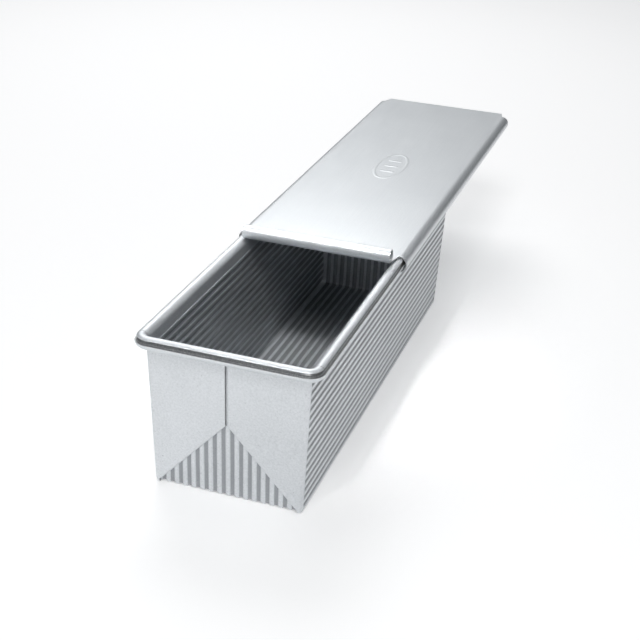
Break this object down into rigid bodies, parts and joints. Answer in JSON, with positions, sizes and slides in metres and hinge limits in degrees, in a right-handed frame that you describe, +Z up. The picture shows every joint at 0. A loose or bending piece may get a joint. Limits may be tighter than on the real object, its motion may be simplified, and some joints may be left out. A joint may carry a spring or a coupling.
{
  "type": "lidded loaf pan",
  "caption": "Long straight-sided loaf pan of ribbed folded sheet metal, with a rolled wire rim and a flat cover that slides along it.",
  "frame": {"origin": "centre of the pan's base, on the surface it rests on", "axes": "+Z up, +Y along the pan from the end the lid closes towards to the end it slides off, +X to the right of someone looking along +Y"},
  "size_m": [0.1254, 0.5413, 0.1171],
  "materials": {
    "pan_sheet": "satin",
    "rim_wire": "satin",
    "lid_sheet": "satin"
  },
  "bodies": {
    "pan": {"floor_panel": "pan_sheet", "left_side_wall": "pan_sheet", "right_side_wall": "pan_sheet", "front_end_wall": "pan_sheet", "rear_end_wall": "pan_sheet", "front_left_corner_fold": "pan_sheet", "front_right_corner_fold": "pan_sheet", "rear_left_corner_fold": "pan_sheet", "rear_right_corner_fold": "pan_sheet", "left_rim_roll": "pan_sheet", "right_rim_roll": "pan_sheet", "front_rim_roll": "pan_sheet", "rear_rim_roll": "pan_sheet", "rim_wire": "rim_wire"},
    "lid": {"lid_panel": "lid_sheet", "left_lid_curl": "lid_sheet", "right_lid_curl": "lid_sheet", "lid_grip_roll": "lid_sheet"}
  },
  "joints": [
    {"name": "lid_slide", "type": "slide", "parent": "pan", "child": "lid", "axis": [0, 1, 0], "range_m": [-0.1805, 0.155]}
  ]
}
